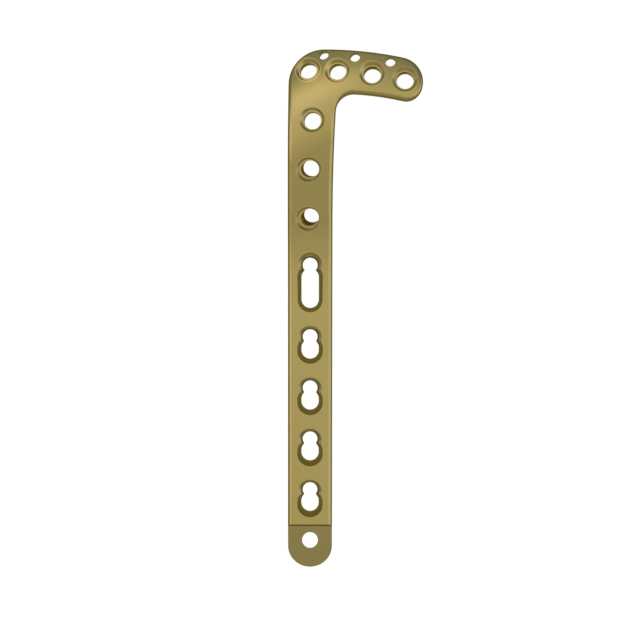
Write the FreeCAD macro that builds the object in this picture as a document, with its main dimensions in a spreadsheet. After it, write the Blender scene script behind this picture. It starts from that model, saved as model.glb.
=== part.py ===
# Anatomical locking bone plate for the outer side of the upper shin bone: a straight
# shaft, a neck that rises off the shaft, and a head that turns 90 degrees into an arm
# and curves back over the bone. One milled piece of titanium, drilled for screws.
#
# Frame, in millimetres: +Y runs up the centre line of the shaft towards the head, +X
# towards the arm, +Z out of the bone. The shaft's flat bone side lies in z = 0, and the
# origin is on its centre line, half way between the two middle combination holes.

import FreeCAD, Part
import math
import os
import Sketcher

Vector = FreeCAD.Vector

SIZES = [
    # shaft
    ("shaft_width", 11.17, "width of the shaft across its straight sides"),
    ("shaft_thickness", 3.5, "thickness of the shaft"),
    ("tip_reach", 37.44, "from the origin down to the rounded lower end"),
    # neck
    ("bend_start", 40.0, "height at which the outer face of the neck turns off the shaft"),
    ("bend_angle", 11.5, "angle at which the neck rises off the bone, in degrees"),
    ("bend_radius", 100.0, "radius of that turn on the outer face"),
    ("sides_start", 53.0, "height at which the neck's sides leave the line of the shaft's"),
    ("widening_radius", 425.0, "radius in which the neck's side widens towards the arm"),
    ("narrowing_radius", 2240.0, "radius in which its other side draws in"),
    ("neck_end", 62.0, "height at which the straight neck runs into the domed head"),
    # head
    ("head_thickness", 2.8, "thickness of the neck and head"),
    ("dome_x", 24.7, "axis of the head's dome, across"),
    ("dome_y", 30.0, "axis of the head's dome, along"),
    ("dome_flat", 46.0, "distance from that axis at which the outer face starts to fall"),
    ("dome_radius", 27.7, "radius at which the outer face falls away"),
    ("corner_radius", 8.7, "outline at the corner between shaft and arm"),
    ("crown_height", 93.12, "highest point of the head's upper edge"),
    ("crown_x", 0.7, "where along the arm that point is"),
    ("crown_radius", 104.5, "radius of the upper edge"),
    ("arm_reach", 27.65, "from the centre line to the end of the arm"),
    ("arm_depth", 11.24, "from the upper edge's highest point to the lower edge's"),
    ("arm_end_radius", 6.17, "round of the arm's end, upper part"),
    ("arm_heel_radius", 3.9, "round of the arm's end, lower part"),
    ("arm_under_x", 6.35, "highest point of the arm's lower edge, across"),
    ("arm_under_radius", 74.8, "radius of the arm's lower edge"),
    ("crook_radius", 4.37, "inner corner between neck and arm"),
    # edges
    ("outer_edge_radius", 1.05, "rounding of the edges on the outer face"),
    # sloping tip
    ("ramp_start", 26.05, "from the origin down to where the tip starts to slope"),
    ("step_depth", 1.0, "depth of the step down to the sloping tip"),
    ("step_angle", 60.0, "slope of that step's face, in degrees"),
    ("ramp_angle", 8.0, "slope of the tip below the step, in degrees"),
    ("tip_hole_y", 30.2, "from the origin down to the hole in the tip"),
    ("tip_hole_radius", 2.03, "radius of the hole in the tip"),
    ("tip_hole_lean", 17.0, "lean of that hole, in degrees"),
    # screw holes of the neck and head
    ("rim_radius", 3.1, "screw hole at the outer face"),
    ("seat_radius", 2.5, "foot of the countersink"),
    ("seat_depth", 1.0, "depth of the countersink"),
    ("thread_radius", 2.12, "threaded part of the screw hole"),
    ("wire_radius", 1.25, "wire hole at the upper edge"),
    # combination holes of the shaft
    ("pitch", 13.0, "spacing of the combination holes"),
    ("lock_offset", 1.93, "from a combination hole's place up to its threaded end"),
    ("slide_top", 0.8, "from its place down to the upper end of its sliding slot"),
    ("slide_foot", 1.5, "from its place down to the lower end of its sliding slot"),
    ("lock_rim_radius", 2.95, "threaded end at the outer face"),
    ("lock_seat_radius", 2.3, "threaded end at the foot of its countersink"),
    ("lock_radius", 1.88, "threaded end at the bone side"),
    ("lock_foot_depth", 2.6, "from the outer face down to where that end is narrowest"),
    ("slide_radius", 2.19, "half the width of the sliding slot at the bone side"),
    ("slide_rim_radius", 3.2, "half the width of the sliding slot at the outer face"),
    ("slide_depth", 2.3, "depth over which the slot narrows to take a screw's head"),
    # long adjusting hole
    ("long_hole_y", 36.53, "upper centre of the long sliding slot"),
    ("long_hole_run", 5.65, "distance between the two centres of the long slot"),
    ("long_lock_offset", 3.0, "from its upper centre up to its threaded end"),
]


def fill_sheet(doc):
    """Each row holds a name, the size and what it measures."""
    sheet = doc.addObject("Spreadsheet::Sheet", "sizes")
    for row, (alias, value, meaning) in enumerate(SIZES, start=1):
        sheet.set("A%d" % row, alias)
        sheet.set("B%d" % row, str(value))
        sheet.set("C%d" % row, meaning)
        sheet.setAlias("B%d" % row, alias)
    doc.recompute()
    return sheet


doc = FreeCAD.newDocument("bone_plate")
sheet = fill_sheet(doc)


def size(alias):
    return float(sheet.get(alias))


# Geometry helpers

def circles_meet(centre_a, radius_a, centre_b, radius_b, side):
    """The point at radius_a from one centre and radius_b from the other; side is +1 for
    the one to the left of the way from a to b, and -1 for the one to its right."""
    way = centre_b - centre_a
    along = (radius_a ** 2 - radius_b ** 2 + way.Length ** 2) / (2 * way.Length)
    off = math.sqrt(radius_a ** 2 - along ** 2)
    ahead = way / way.Length
    left = Vector(-ahead.y, ahead.x, 0)
    return centre_a + ahead * along + left * (side * off)


def on_circle(centre, radius, towards):
    """The point of a circle on the ray from its centre through another point."""
    ray = towards - centre
    return centre + ray * (radius / ray.Length)


def arc_between(centre, start, end, clockwise=False):
    """Circular arc from start to end about a centre, as seen from +Z."""
    first = math.atan2(start.y - centre.y, start.x - centre.x)
    last = math.atan2(end.y - centre.y, end.x - centre.x)
    if clockwise:
        first, last = last, first
    radius = (start - centre).Length
    circle = Part.Circle(centre, Vector(0, 0, 1), radius)
    return Part.ArcOfCircle(circle, first, last)


def origin_plane(body, role):
    for plane in body.Origin.OriginFeatures:
        if plane.Role == role:
            return plane
    raise RuntimeError("no plane " + role)


def new_sketch(body, name, role):
    sketch = body.newObject("Sketcher::SketchObject", name)
    sketch.AttachmentSupport = (origin_plane(body, role), [""])
    sketch.MapMode = "FlatFace"
    return sketch


def turn_span():
    """Where along the shaft the outer face's turn starts and ends."""
    angle = math.radians(size("bend_angle"))
    reach = size("bend_radius") * math.tan(angle / 2)
    return size("bend_start") - reach, size("bend_start") + reach * math.cos(angle)


# Outline, seen from outside the bone

def head_points():
    """Centres of the outline's arcs, each worked out from the ones it touches."""
    half = size("shaft_width") / 2
    sides_start = size("sides_start")
    widening = Vector(half + size("widening_radius"), sides_start, 0)
    narrowing = Vector(size("narrowing_radius") - half, sides_start, 0)
    crown = Vector(size("crown_x"), size("crown_height") - size("crown_radius"), 0)
    corner = circles_meet(crown, size("crown_radius") - size("corner_radius"),
                          narrowing, size("narrowing_radius") - size("corner_radius"), 1)
    end_gap = size("crown_radius") - size("arm_end_radius")
    end_x = size("arm_reach") - size("arm_end_radius")
    end = Vector(end_x, crown.y + math.sqrt(end_gap ** 2 - (end_x - crown.x) ** 2), 0)
    under_height = size("crown_height") - size("arm_depth")
    under = Vector(size("arm_under_x"), under_height - size("arm_under_radius"), 0)
    heel = circles_meet(under, size("arm_under_radius") + size("arm_heel_radius"),
                        end, size("arm_end_radius") - size("arm_heel_radius"), -1)
    crook = circles_meet(under, size("arm_under_radius") - size("crook_radius"),
                         widening, size("widening_radius") - size("crook_radius"), 1)
    return dict(crown=crown, corner=corner, end=end, under=under, heel=heel, crook=crook,
                widening=widening, narrowing=narrowing)


def outline_edges():
    """Outline as lines and arcs that run into each other, and the radius name of each arc."""
    half = size("shaft_width") / 2
    sides_start = size("sides_start")
    tip = Vector(0, half - size("tip_reach"), 0)
    at = head_points()
    left_low = Vector(-half, tip.y, 0)
    left_middle = Vector(-half, sides_start, 0)
    left_high = on_circle(at["narrowing"], size("narrowing_radius"), at["corner"])
    corner_end = on_circle(at["crown"], size("crown_radius"), at["corner"])
    crown_end = on_circle(at["crown"], size("crown_radius"), at["end"])
    heel_start = on_circle(at["end"], size("arm_end_radius"), at["heel"])
    heel_end = on_circle(at["under"], size("arm_under_radius"), at["heel"])
    crook_start = on_circle(at["under"], size("arm_under_radius"), at["crook"])
    crook_end = on_circle(at["widening"], size("widening_radius"), at["crook"])
    right_middle = Vector(half, sides_start, 0)
    right_low = Vector(half, tip.y, 0)
    return [
        (Part.LineSegment(left_low, left_middle), None, 0),
        (arc_between(at["narrowing"], left_middle, left_high, True), "narrowing_radius", 1),
        (arc_between(at["corner"], left_high, corner_end, True), "corner_radius", 1),
        (arc_between(at["crown"], corner_end, crown_end, True), "crown_radius", 1),
        (arc_between(at["end"], crown_end, heel_start, True), "arm_end_radius", 1),
        (arc_between(at["heel"], heel_start, heel_end, True), "arm_heel_radius", 1),
        (arc_between(at["under"], heel_end, crook_start), "arm_under_radius", 0),
        (arc_between(at["crook"], crook_start, crook_end), "crook_radius", 0),
        (arc_between(at["widening"], crook_end, right_middle), "widening_radius", 0),
        (Part.LineSegment(right_middle, right_low), None, 0),
        (arc_between(tip, right_low, left_low, True), None, 1),
    ]


def draw_chain(sketch, pieces):
    """Adds edges end to end and ties each to the next, tangent where told. A piece is an
    edge, the name of its radius or None, and 1 if the edge is stored back to front."""
    first = sketch.GeometryCount
    for edge, radius_name, backwards in pieces:
        index = sketch.addGeometry(edge, False)
        if radius_name:
            number = sketch.addConstraint(Sketcher.Constraint("Radius", index, edge.Radius))
            sketch.setExpression("Constraints[%d]" % number, "sizes." + radius_name)
    for place in range(len(pieces)):
        after = (place + 1) % len(pieces)
        leaves = 1 if pieces[place][2] else 2
        enters = 2 if pieces[after][2] else 1
        sketch.addConstraint(Sketcher.Constraint("Coincident", first + place, leaves,
                                                 first + after, enters))


def outline_cut(body):
    """Cuts away everything outside the outline."""
    sketch = new_sketch(body, "outline", "XY_Plane")
    draw_chain(sketch, outline_edges())
    room = size("crown_height") + size("dome_radius")
    corners = [Vector(-room, -room, 0), Vector(room, -room, 0), Vector(room, room, 0), Vector(-room, room, 0)]
    draw_chain(sketch, [(Part.LineSegment(corners[i], corners[(i + 1) % 4]), None, 0) for i in range(4)])
    cut = body.newObject("PartDesign::Pocket", "outline_cut")
    cut.Profile = sketch
    cut.Type = "ThroughAll"
    cut.Midplane = True
    return cut


# Blank: shaft, rising neck and domed head at their full thickness

def neck_level(y):
    """Height of the neck's outer plane over a point of the centre line, with the plane
    carried on past both ends of the neck."""
    rise = math.tan(math.radians(size("bend_angle")))
    return size("shaft_thickness") + (y - size("bend_start")) * rise


def outer_height(x, y):
    """Height of the outer face over a point: shaft, turn, neck, then dome."""
    angle = math.radians(size("bend_angle"))
    turn_foot, turn_head = turn_span()
    if y <= turn_foot:
        return size("shaft_thickness")
    if y <= turn_head:
        depth = math.sqrt(size("bend_radius") ** 2 - (y - turn_foot) ** 2)
        return size("shaft_thickness") + size("bend_radius") - depth
    base = Vector(size("dome_x"), size("dome_y"), neck_level(size("dome_y")))
    up = Vector(0, -math.sin(angle), math.cos(angle))
    level = neck_level(y)
    for _ in range(20):
        arm = Vector(x, y, level) - base
        lift = arm.dot(up)
        away = (arm - up * lift).Length - size("dome_flat")
        fall = 0.0
        if away > 0:
            fall = size("dome_radius") - math.sqrt(size("dome_radius") ** 2 - away ** 2)
        level -= lift + fall
    return level


def side_edges():
    """Side view of shaft and neck, with y to the right: two parallel faces joined by the
    same turn, the bone side's started earlier so that the thickness runs out evenly."""
    angle = math.radians(size("bend_angle"))
    rise = math.tan(angle)
    thick = size("shaft_thickness")
    thin = size("head_thickness")
    reach = size("bend_radius") * math.tan(angle / 2)
    bone_start = size("bend_start") - (thick - thin / math.cos(angle)) / rise
    foot = -size("tip_reach") - thick

    def turn(start, level):
        before = Vector(start - reach, level, 0)
        after = Vector(start + reach * math.cos(angle), level + reach * math.sin(angle), 0)
        centre = Vector(before.x, level + size("bend_radius"), 0)
        return before, after, centre

    top_before, top_after, top_centre = turn(size("bend_start"), thick)
    low_before, low_after, low_centre = turn(bone_start, 0)
    top_end = Vector(size("neck_end"), neck_level(size("neck_end")), 0)
    low_end = top_end + Vector(math.sin(angle), -math.cos(angle), 0) * thin
    low_foot = Vector(foot, 0, 0)
    top_foot = Vector(foot, thick, 0)
    return [
        (Part.LineSegment(low_foot, low_before), None, 0),
        (arc_between(low_centre, low_before, low_after), "bend_radius", 0),
        (Part.LineSegment(low_after, low_end), None, 0),
        (Part.LineSegment(low_end, top_end), None, 0),
        (Part.LineSegment(top_end, top_after), None, 0),
        (arc_between(top_centre, top_after, top_before, True), "bend_radius", 1),
        (Part.LineSegment(top_before, top_foot), None, 0),
        (Part.LineSegment(top_foot, low_foot), None, 0),
    ]


def shaft_and_neck(body):
    sketch = new_sketch(body, "side_view", "YZ_Plane")
    draw_chain(sketch, side_edges())
    pad = body.newObject("PartDesign::Pad", "shaft_and_neck")
    pad.Profile = sketch
    pad.Midplane = True
    pad.setExpression("Length", "sizes.shaft_width * 1.5")
    return pad


def domed_head(body):
    """Part of a turn of a flat strip that falls away in an arc, about an axis square to
    the neck. The strip starts inside the neck's end and reaches past the outline, and its
    turn, in degrees, runs from past the arm's end to past the neck's far side."""
    flat = size("dome_flat")
    thin = size("head_thickness")
    radius = size("dome_radius")
    inner = flat - size("shaft_width")
    sweep = math.radians(68)
    centre = Vector(flat, -radius, 0)

    def fallen(at_radius):
        return centre + Vector(math.sin(sweep), math.cos(sweep), 0) * at_radius

    start = Vector(inner, 0, 0)
    brow = Vector(flat, 0, 0)
    inner_brow = Vector(flat, -thin, 0)
    inner_start = Vector(inner, -thin, 0)
    sketch = new_sketch(body, "dome_section", "XZ_Plane")
    draw_chain(sketch, [
        (Part.LineSegment(start, brow), None, 0),
        (arc_between(centre, brow, fallen(radius), True), "dome_radius", 1),
        (Part.LineSegment(fallen(radius), fallen(radius - thin)), None, 0),
        (arc_between(centre, fallen(radius - thin), inner_brow), None, 0),
        (Part.LineSegment(inner_brow, inner_start), None, 0),
        (Part.LineSegment(inner_start, start), None, 0),
    ])
    towards_head = 80
    turn = 55
    tipped = FreeCAD.Rotation(Vector(1, 0, 0), size("bend_angle"))
    past_arm = FreeCAD.Rotation(Vector(0, 1, 0), towards_head)
    sketch.AttachmentOffset = FreeCAD.Placement(
        Vector(size("dome_x"), neck_level(size("dome_y")), -size("dome_y")), tipped * past_arm)
    sketch.setExpression("AttachmentOffset.Base.x", "sizes.dome_x")
    sketch.setExpression("AttachmentOffset.Base.z", "-sizes.dome_y")
    dome = body.newObject("PartDesign::Revolution", "domed_head")
    dome.Profile = sketch
    dome.ReferenceAxis = (sketch, ["V_Axis"])
    dome.Angle = turn
    return dome


# Edges

def outer_rim(shape):
    """Names of the edges between the upright side walls and the plate's outer face."""
    names = []
    for number, edge in enumerate(shape.Edges, start=1):
        middle = edge.valueAt((edge.FirstParameter + edge.LastParameter) / 2)
        walls = 0
        faces = 0
        for face in shape.ancestorsOfType(edge, Part.Face):
            normal = face.normalAt(*face.Surface.parameter(middle))
            if abs(normal.z) < 0.05:
                walls += 1
            elif normal.z > 0.5:
                faces += 1
        if walls == 1 and faces == 1:
            names.append("Edge%d" % number)
    return names


def round_edges(body, base):
    rounding = body.newObject("PartDesign::Fillet", "outer_edges")
    rounding.Base = (base, outer_rim(base.Shape))
    rounding.setExpression("Radius", "sizes.outer_edge_radius")


def tip_level(y):
    """Height of the sloping tip's face at a place along the shaft."""
    past_step = -size("ramp_start") - y
    drop = size("step_depth") + past_step * math.tan(math.radians(size("ramp_angle")))
    return size("shaft_thickness") - drop


def sloping_tip(body):
    """Cuts the lower end of the outer face down: a steep step, then a gentle slope."""
    thick = size("shaft_thickness")
    steep = math.tan(math.radians(size("step_angle")))
    gentle = math.tan(math.radians(size("ramp_angle")))
    start = -size("ramp_start")
    step_run = size("step_depth") / (steep - gentle)
    far = -size("tip_reach") - size("shaft_thickness")
    high = 2 * thick
    corners = [
        Vector(start, high, 0),
        Vector(start, thick, 0),
        Vector(start - step_run, tip_level(start - step_run), 0),
        Vector(far, tip_level(far), 0),
        Vector(far, high, 0),
    ]
    sketch = new_sketch(body, "tip_slope", "YZ_Plane")
    draw_chain(sketch, [(Part.LineSegment(corners[i], corners[(i + 1) % 5]), None, 0) for i in range(5)])
    cut = body.newObject("PartDesign::Pocket", "sloping_tip")
    cut.Profile = sketch
    cut.Type = "ThroughAll"
    cut.Midplane = True
    return cut


body = doc.addObject("PartDesign::Body", "blank")
shaft_and_neck(body)
doc.recompute()
domed_head(body)
doc.recompute()
outline = outline_cut(body)
doc.recompute()
round_edges(body, outline)
doc.recompute()
sloping_tip(body)
doc.recompute()


# Hole cutters. Each is drawn upright with its place on the outer face at its own zero
# and then leaned, so a hole keeps its round section whichever way it runs. Every cutter
# reaches this far past the faces that it opens.

CLEAR = 3.0


def lean(cutter, x, y, z, across, down):
    """Places a cutter whose bone end leans across towards the arm and down the shaft."""
    bone_end = Vector(across, -down, -1)
    leaned = FreeCAD.Placement(Vector(x, y, z), FreeCAD.Rotation(Vector(0, 0, -1), bone_end))
    cutter.Placement = leaned * cutter.Placement


def cylinder(name, alias, low, high, y=0.0):
    piece = doc.addObject("Part::Cylinder", name)
    piece.setExpression("Radius", "sizes." + alias)
    piece.Height = high - low
    piece.Placement.Base = Vector(0, y, low)
    return piece


def fused(name, pieces):
    joined = doc.addObject("Part::MultiFuse", name)
    joined.Shapes = pieces
    return joined


def flared(rim, seat, depth):
    """Radius of a countersink at the top of its cutter, past the outer face."""
    return size(rim) + (size(rim) - size(seat)) * CLEAR / size(depth)


def countersink(name, rim, seat, depth, y=0.0):
    """Cone from its seat up to the rim at the outer face, and on past the face."""
    sunk = doc.addObject("Part::Cone", name)
    sunk.Radius1 = size(seat)
    sunk.Radius2 = flared(rim, seat, depth)
    sunk.Height = size(depth) + CLEAR
    sunk.Placement.Base = Vector(0, y, -size(depth))
    return sunk


def screw_cutter(name, x, y, across, down):
    """Countersink square to the outer face, and through its middle the leaning threaded
    hole, which runs out past the bone side."""
    level = outer_height(x, y)
    apart = size("seat_depth")
    rise_across = (outer_height(x + apart, y) - outer_height(x - apart, y)) / (2 * apart)
    rise_along = (outer_height(x, y + apart) - outer_height(x, y - apart)) / (2 * apart)
    sunk = countersink(name + "_countersink", "rim_radius", "seat_radius", "seat_depth")
    lean(sunk, x, y, level, rise_across, -rise_along)
    threaded = cylinder(name + "_thread", "thread_radius", -size("head_thickness") - CLEAR, CLEAR)
    lean(threaded, x, y, level, across, down)
    return fused(name, [sunk, threaded])


# Each hole's place on the outer face, then the lean of its bone end to the arm's side and
# down the shaft, as tangents.
SCREW_HOLES = [
    # name, x, y, lean across, lean down
    ("head_hole_1", -0.62, 87.95, 0.14, 0.21),
    ("head_hole_2", 6.56, 87.58, 0.18, 0.23),
    ("head_hole_3", 15.11, 86.77, 0.11, 0.295),
    ("head_hole_4", 23.13, 85.29, 0.085, 0.22),
    ("neck_hole_1", 0.43, 75.45, 0.115, 0.13),
    ("neck_hole_2", -0.33, 63.28, 0.335, -0.22),
    ("neck_hole_3", -0.49, 51.12, 0.53, -0.55),
]
WIRE_HOLES = [
    ("wire_hole_1", 3.28, 91.6, 0.12, 0.14),
    ("wire_hole_2", 10.97, 90.92, 0.09, 0.12),
    ("wire_hole_3", 19.62, 89.68, 0.065, 0.13),
]

cutters = []
for name, x, y, across, down in SCREW_HOLES:
    cutters.append(screw_cutter(name, x, y, across, down))
for name, x, y, across, down in WIRE_HOLES:
    cutter = cylinder(name, "wire_radius", -size("head_thickness") - CLEAR, CLEAR)
    lean(cutter, x, y, outer_height(x, y), across, down)
    cutters.append(cutter)


def slot_prism(name, alias, run, low, high):
    """Upright slot with round ends, from its own zero down by run."""
    upper = cylinder(name + "_upper", alias, low, high)
    lower = cylinder(name + "_lower", alias, low, high, -run)
    middle = doc.addObject("Part::Box", name + "_middle")
    middle.setExpression("Length", "2 * sizes." + alias)
    middle.Width = run
    middle.Height = high - low
    middle.Placement.Base = Vector(-size(alias), -run, low)
    return [upper, lower, middle]


def slot_countersink(name, run):
    """Sloping wall all round the sliding slot: a cone at each end and a wedge between."""
    sizes = ("slide_rim_radius", "slide_radius", "slide_depth")
    upper = countersink(name + "_upper", *sizes)
    lower = countersink(name + "_lower", *sizes, y=-run)
    seat = size("slide_radius")
    top = flared(*sizes)
    middle = doc.addObject("Part::Wedge", name + "_middle")
    middle.Xmin, middle.Xmax = -seat, seat
    middle.X2min, middle.X2max = -top, top
    middle.Ymin, middle.Ymax = -size("slide_depth"), CLEAR
    middle.Zmin, middle.Zmax = 0, run
    middle.Z2min, middle.Z2max = 0, run
    middle.Placement = FreeCAD.Placement(Vector(0, 0, 0), FreeCAD.Rotation(Vector(1, 0, 0), 90))
    return [upper, lower, middle]


def lock_cutter(name):
    """Threaded end of a combination hole: countersink, cone, and a short straight foot."""
    sunk = countersink(name + "_countersink", "lock_rim_radius", "lock_seat_radius", "seat_depth")
    cone = doc.addObject("Part::Cone", name + "_cone")
    cone.setExpression("Radius1", "sizes.lock_radius")
    cone.setExpression("Radius2", "sizes.lock_seat_radius")
    cone.Height = size("lock_foot_depth") - size("seat_depth")
    cone.Placement.Base = Vector(0, 0, -size("lock_foot_depth"))
    foot = cylinder(name + "_foot", "lock_radius", -size("shaft_thickness") - CLEAR, -size("lock_foot_depth"))
    return fused(name, [sunk, cone, foot])


def combination_cutter(name, lock_up, slot_run, slot_y):
    """Threaded end lock_up above zero, run together with a slot that starts at zero, both
    set at the height that the outer face has there."""
    pieces = slot_prism(name + "_slot", "slide_radius", slot_run, -size("shaft_thickness") - CLEAR, CLEAR)
    pieces += slot_countersink(name + "_countersink", slot_run)
    lock = lock_cutter(name + "_lock")
    level = outer_height(0, slot_y)
    lock.Placement.Base = Vector(0, lock_up, outer_height(0, slot_y + lock_up) - level)
    cutter = fused(name, pieces + [lock])
    cutter.Placement.Base = Vector(0, slot_y, level)
    return cutter


for index in range(4):
    slot_y = (1.5 - index) * size("pitch") - size("slide_top")
    cutters.append(combination_cutter("combination_hole_%d" % (index + 1),
                                      size("lock_offset") + size("slide_top"),
                                      size("slide_foot") - size("slide_top"), slot_y))

cutters.append(combination_cutter("long_hole", size("long_lock_offset"), size("long_hole_run"),
                                  size("long_hole_y")))

tip_hole = cylinder("tip_hole", "tip_hole_radius", -size("shaft_thickness") - CLEAR, CLEAR)
lean(tip_hole, 0, -size("tip_hole_y"), tip_level(-size("tip_hole_y")),
     0, math.tan(math.radians(size("tip_hole_lean"))))
cutters.append(tip_hole)
doc.recompute()

plate = doc.addObject("Part::Cut", "bone_plate")
plate.Base = body
plate.Tool = fused("all_holes", cutters)
plate.Label = "bone_plate"
doc.recompute()

for thing in doc.Objects:
    if "Invalid" in thing.State or "Error" in thing.State:
        raise RuntimeError("%s did not build: %s" % (thing.Name, thing.State))
if plate.Shape.isNull() or not plate.Shape.isValid():
    raise RuntimeError("the plate is not a valid shape")

os.makedirs("parts", exist_ok=True)
plate.Shape.exportStep("parts/bone_plate.step")
print("solids", len(plate.Shape.Solids), "volume", round(plate.Shape.Volume, 1), "box", plate.Shape.BoundBox)
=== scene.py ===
import math

import bpy
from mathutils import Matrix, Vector


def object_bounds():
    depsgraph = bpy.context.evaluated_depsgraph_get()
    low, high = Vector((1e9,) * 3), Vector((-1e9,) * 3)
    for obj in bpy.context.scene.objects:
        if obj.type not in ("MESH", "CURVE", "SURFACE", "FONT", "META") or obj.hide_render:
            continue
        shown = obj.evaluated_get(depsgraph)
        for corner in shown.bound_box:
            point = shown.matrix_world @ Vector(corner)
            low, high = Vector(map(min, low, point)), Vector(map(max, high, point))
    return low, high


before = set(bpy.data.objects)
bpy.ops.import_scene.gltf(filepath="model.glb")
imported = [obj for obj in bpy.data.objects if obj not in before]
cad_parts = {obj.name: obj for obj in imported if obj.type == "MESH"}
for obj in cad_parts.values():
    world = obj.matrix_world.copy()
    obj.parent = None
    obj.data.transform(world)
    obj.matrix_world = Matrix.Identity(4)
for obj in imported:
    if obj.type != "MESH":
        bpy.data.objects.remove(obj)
start_low, start_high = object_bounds()
scene = bpy.context.scene


# Bone plate: one milled piece of implant titanium, bead-blasted and then anodised gold.
# The blasting leaves a satin skin whose grain only shows close up, and the anodised layer
# turns from warm gold to olive where the surface leans away from the light.

def grain_group():
    """Fine blasted grain: a height in metres and a slow unevenness of the anodised layer."""
    group = bpy.data.node_groups.new("blasted_grain", "ShaderNodeTree")
    group.interface.new_socket("Height", in_out="OUTPUT", socket_type="NodeSocketFloat")
    group.interface.new_socket("Unevenness", in_out="OUTPUT", socket_type="NodeSocketFloat")
    nodes = group.nodes
    links = group.links
    place = nodes.new("ShaderNodeTexCoord")
    out = nodes.new("NodeGroupOutput")
    fine = nodes.new("ShaderNodeTexNoise")
    fine.inputs["Scale"].default_value = 9000.0
    fine.inputs["Detail"].default_value = 3.0
    slow = nodes.new("ShaderNodeTexNoise")
    slow.inputs["Scale"].default_value = 160.0
    slow.inputs["Detail"].default_value = 2.0
    links.new(place.outputs["Object"], fine.inputs["Vector"])
    links.new(place.outputs["Object"], slow.inputs["Vector"])
    links.new(fine.outputs["Fac"], out.inputs["Height"])
    links.new(slow.outputs["Fac"], out.inputs["Unevenness"])
    return group


def countersink_group():
    """Surface normal N, turned to normalise(N + 0.5 z) on the outward walls inside the rims of
    the countersunk holes. Their worn edges and tool marks face up more than a clean cone."""
    group = bpy.data.node_groups.new("countersink_walls", "ShaderNodeTree")
    group.interface.new_socket("Normal", in_out="OUTPUT", socket_type="NodeSocketVector")
    nodes = group.nodes
    links = group.links
    place = nodes.new("ShaderNodeTexCoord")
    surface = nodes.new("ShaderNodeNewGeometry")
    out = nodes.new("NodeGroupOutput")
    flat = nodes.new("ShaderNodeVectorMath")
    flat.operation = "MULTIPLY"
    flat.inputs[1].default_value = (1.0, 1.0, 0.0)
    links.new(place.outputs["Object"], flat.inputs[0])
    holes = [
        # x, y and rim, in metres: screw holes of head and neck, then threaded ends of the slots
        (-0.00062, 0.08795, 0.00325),
        (0.00656, 0.08758, 0.00325),
        (0.01511, 0.08677, 0.00325),
        (0.02313, 0.08529, 0.00325),
        (0.00043, 0.07545, 0.00325),
        (-0.00033, 0.06328, 0.00325),
        (-0.00049, 0.05112, 0.00325),
        (0.0, 0.03953, 0.00295),
        (0.0, 0.02143, 0.00295),
        (0.0, 0.00843, 0.00295),
        (0.0, -0.00457, 0.00295),
        (0.0, -0.01757, 0.00295),
    ]
    within = nodes.new("ShaderNodeValue").outputs["Value"]
    within.default_value = 0.0
    for x, y, rim in holes:
        away = nodes.new("ShaderNodeVectorMath")
        away.operation = "DISTANCE"
        away.inputs[1].default_value = (x, y, 0.0)
        inside = nodes.new("ShaderNodeMath")
        inside.operation = "LESS_THAN"
        inside.inputs[1].default_value = rim
        either = nodes.new("ShaderNodeMath")
        either.operation = "MAXIMUM"
        links.new(flat.outputs["Vector"], away.inputs[0])
        links.new(away.outputs["Value"], inside.inputs[0])
        links.new(within, either.inputs[0])
        links.new(inside.outputs["Value"], either.inputs[1])
        within = either.outputs["Value"]
    parts = nodes.new("ShaderNodeSeparateXYZ")
    outward = nodes.new("ShaderNodeMath")
    outward.operation = "GREATER_THAN"
    outward.inputs[1].default_value = 0.2
    both = nodes.new("ShaderNodeMath")
    both.operation = "MULTIPLY"
    lift = nodes.new("ShaderNodeVectorMath")
    lift.operation = "SCALE"
    lift.inputs[0].default_value = (0.0, 0.0, 0.5)
    turned = nodes.new("ShaderNodeVectorMath")
    unit = nodes.new("ShaderNodeVectorMath")
    unit.operation = "NORMALIZE"
    links.new(surface.outputs["Normal"], parts.inputs["Vector"])
    links.new(parts.outputs["Z"], outward.inputs[0])
    links.new(within, both.inputs[0])
    links.new(outward.outputs["Value"], both.inputs[1])
    links.new(both.outputs["Value"], lift.inputs["Scale"])
    links.new(surface.outputs["Normal"], turned.inputs[0])
    links.new(lift.outputs["Vector"], turned.inputs[1])
    links.new(turned.outputs["Vector"], unit.inputs[0])
    links.new(unit.outputs["Vector"], out.inputs["Normal"])
    return group


def anodised_titanium():
    material = bpy.data.materials.new("anodised_titanium")
    material.use_nodes = True
    nodes = material.node_tree.nodes
    links = material.node_tree.links
    nodes.clear()
    out = nodes.new("ShaderNodeOutputMaterial")
    metal = nodes.new("ShaderNodeBsdfPrincipled")
    metal.inputs["Metallic"].default_value = 1.0
    metal.inputs["Specular Tint"].default_value = (0.93, 0.97, 0.80, 1.0)
    grain = nodes.new("ShaderNodeGroup")
    grain.node_tree = grain_group()
    tone = nodes.new("ShaderNodeMix")
    tone.data_type = "RGBA"
    tone.inputs["A"].default_value = (0.350, 0.274, 0.106, 1.0)
    tone.inputs["B"].default_value = (0.372, 0.292, 0.114, 1.0)
    rough = nodes.new("ShaderNodeMapRange")
    rough.inputs["To Min"].default_value = 0.26
    rough.inputs["To Max"].default_value = 0.31
    bump = nodes.new("ShaderNodeBump")
    bump.inputs["Strength"].default_value = 0.25
    bump.inputs["Distance"].default_value = 0.000004
    links.new(grain.outputs["Unevenness"], tone.inputs["Factor"])
    links.new(grain.outputs["Unevenness"], rough.inputs["Value"])
    walls = nodes.new("ShaderNodeGroup")
    walls.node_tree = countersink_group()
    links.new(walls.outputs["Normal"], bump.inputs["Normal"])
    links.new(grain.outputs["Height"], bump.inputs["Height"])
    links.new(tone.outputs["Result"], metal.inputs["Base Color"])
    links.new(rough.outputs["Result"], metal.inputs["Roughness"])
    links.new(bump.outputs["Normal"], metal.inputs["Normal"])
    links.new(metal.outputs["BSDF"], out.inputs["Surface"])
    return material


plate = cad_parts["bone_plate"]
plate_metal = anodised_titanium()
for slot in plate.material_slots:
    slot.material = plate_metal


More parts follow.
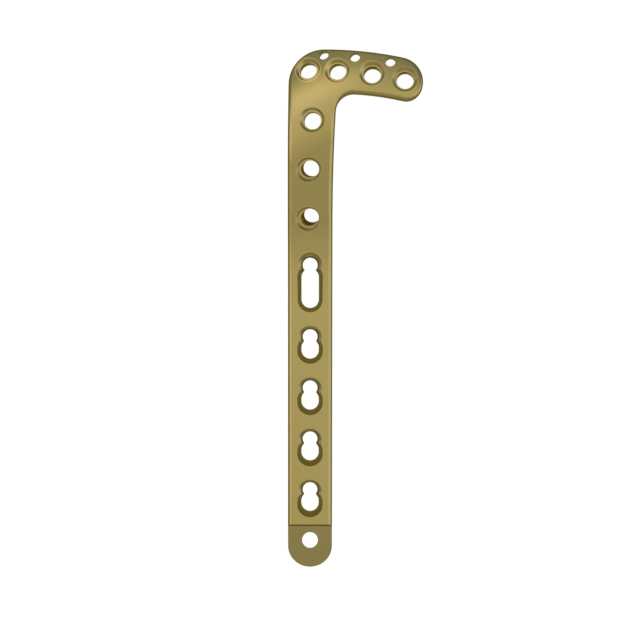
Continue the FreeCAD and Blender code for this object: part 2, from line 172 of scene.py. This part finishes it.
# Floor: pale matt table under the plate. Straight views see it near white, with the soft
# shadow kept, and the metal mirrors it as a darker table.

def table_material():
    material = bpy.data.materials.new("pale_table")
    material.use_nodes = True
    nodes = material.node_tree.nodes
    links = material.node_tree.links
    nodes.clear()
    out = nodes.new("ShaderNodeOutputMaterial")
    seen = nodes.new("ShaderNodeLightPath")
    either = nodes.new("ShaderNodeMixShader")
    mirrored = nodes.new("ShaderNodeEmission")
    mirrored.inputs["Color"].default_value = (0.34, 0.32, 0.14, 1.0)
    pale = nodes.new("ShaderNodeAddShader")
    glow = nodes.new("ShaderNodeEmission")
    glow.inputs["Strength"].default_value = 0.94
    matt = nodes.new("ShaderNodeBsdfDiffuse")
    matt.inputs["Color"].default_value = (0.14, 0.14, 0.14, 1.0)
    links.new(glow.outputs["Emission"], pale.inputs[0])
    links.new(matt.outputs["BSDF"], pale.inputs[1])
    links.new(seen.outputs["Is Camera Ray"], either.inputs["Fac"])
    links.new(mirrored.outputs["Emission"], either.inputs[1])
    links.new(pale.outputs["Shader"], either.inputs[2])
    links.new(either.outputs["Shader"], out.inputs["Surface"])
    return material


floor_mesh = bpy.data.meshes.new("floor")
reach = 3.0
level = start_low.z - 0.00002
floor_mesh.from_pydata(
    [(-reach, -reach, level), (reach, -reach, level), (reach, reach, level), (-reach, reach, level)],
    [], [(0, 1, 2, 3)])
floor = bpy.data.objects.new("floor", floor_mesh)
scene.collection.objects.link(floor)
floor_mesh.materials.append(table_material())


# Surroundings: a dim studio with broad soft lights all round, the strongest beyond the head
# on the left, low on both sides and close to overhead. Only the metal and the table see
# it; a straight view past the table is plain white.

def soft_light(tree, direction, across, along, sharpness, colour):
    """Glow colour * exp(sharpness * (cos(angle to the light's middle) - 1)), with the middle
    leaning across to +X and along to +Y from overhead, in degrees."""
    aim = Vector((math.tan(math.radians(across)), math.tan(math.radians(along)), 1.0)).normalized()
    nearness = tree.nodes.new("ShaderNodeVectorMath")
    nearness.operation = "DOT_PRODUCT"
    nearness.inputs[1].default_value = aim
    fall = tree.nodes.new("ShaderNodeMath")
    fall.operation = "MULTIPLY_ADD"
    fall.inputs[1].default_value = sharpness
    fall.inputs[2].default_value = -sharpness
    strength = tree.nodes.new("ShaderNodeMath")
    strength.operation = "EXPONENT"
    glow = tree.nodes.new("ShaderNodeVectorMath")
    glow.operation = "SCALE"
    glow.inputs[0].default_value = colour
    tree.links.new(direction, nearness.inputs[0])
    tree.links.new(nearness.outputs["Value"], fall.inputs[0])
    tree.links.new(fall.outputs["Value"], strength.inputs[0])
    tree.links.new(strength.outputs["Value"], glow.inputs["Scale"])
    return glow.outputs["Vector"]


def studio_world():
    world = bpy.data.worlds.new("studio")
    world.use_nodes = True
    tree = world.node_tree
    nodes = tree.nodes
    links = tree.links
    nodes.clear()
    direction = nodes.new("ShaderNodeTexCoord").outputs["Generated"]
    out = nodes.new("ShaderNodeOutputWorld")
    seen = nodes.new("ShaderNodeLightPath")
    either = nodes.new("ShaderNodeMixShader")
    studio = nodes.new("ShaderNodeBackground")
    white = nodes.new("ShaderNodeBackground")
    white.inputs["Color"].default_value = (1.0, 1.0, 1.0, 1.0)
    total = nodes.new("ShaderNodeCombineXYZ").outputs["Vector"]
    total.node.inputs["X"].default_value = 0.375
    total.node.inputs["Y"].default_value = 0.41
    total.node.inputs["Z"].default_value = 0.45
    lights = [
        # across, along, sharpness, colour
        (-22.0, 30.0, 40.0, (1.80, 1.62, 1.23)),
        (-34.0, 0.0, 24.0, (0.98, 0.93, 0.86)),
        (-16.0, 12.0, 30.0, (0.04, 0.03, 0.54)),
        (-16.0, -6.0, 30.0, (0.57, 0.43, 0.00)),
        (-44.0, -22.0, 24.0, (0.61, 0.43, 0.00)),
        (-45.0, 60.0, 10.0, (0.22, 0.24, 0.15)),
        (-58.0, 3.0, 30.0, (1.40, 1.28, 1.35)),
        (0.0, 12.0, 40.0, (0.55, 0.65, 0.20)),
        (-4.0, -17.0, 80.0, (0.22, 0.20, 0.12)),
        (0.0, -68.0, 8.0, (0.30, 0.30, 0.09)),
        (16.0, -6.0, 30.0, (1.07, 1.11, 1.14)),
        (40.0, -24.0, 24.0, (0.78, 0.73, 0.34)),
        (64.0, -10.0, 16.0, (1.21, 1.34, 1.51)),
    ]
    for across, along, sharpness, colour in lights:
        light = soft_light(tree, direction, across, along, sharpness, colour)
        more = nodes.new("ShaderNodeVectorMath")
        more.operation = "ADD"
        links.new(total, more.inputs[0])
        links.new(light, more.inputs[1])
        total = more.outputs["Vector"]
    links.new(total, studio.inputs["Color"])
    links.new(seen.outputs["Is Camera Ray"], either.inputs["Fac"])
    links.new(studio.outputs["Background"], either.inputs[1])
    links.new(white.outputs["Background"], either.inputs[2])
    links.new(either.outputs["Shader"], out.inputs["Surface"])
    return world


scene.world = studio_world()


# Camera: well above the neck of the plate, tipped a little towards the end of its shaft.

camera_data = bpy.data.cameras.new("camera")
camera_data.sensor_fit = "HORIZONTAL"
camera_data.angle = 2 * math.atan(315 / 1596.1)
camera_data.clip_start = 0.01
camera = bpy.data.objects.new("camera", camera_data)
camera.location = (0.00120, 0.05205, 0.4035)
camera.rotation_euler = (math.radians(-3.57), 0.0, math.radians(0.052))
scene.collection.objects.link(camera)
scene.camera = camera
scene.view_settings.view_transform = "Standard"
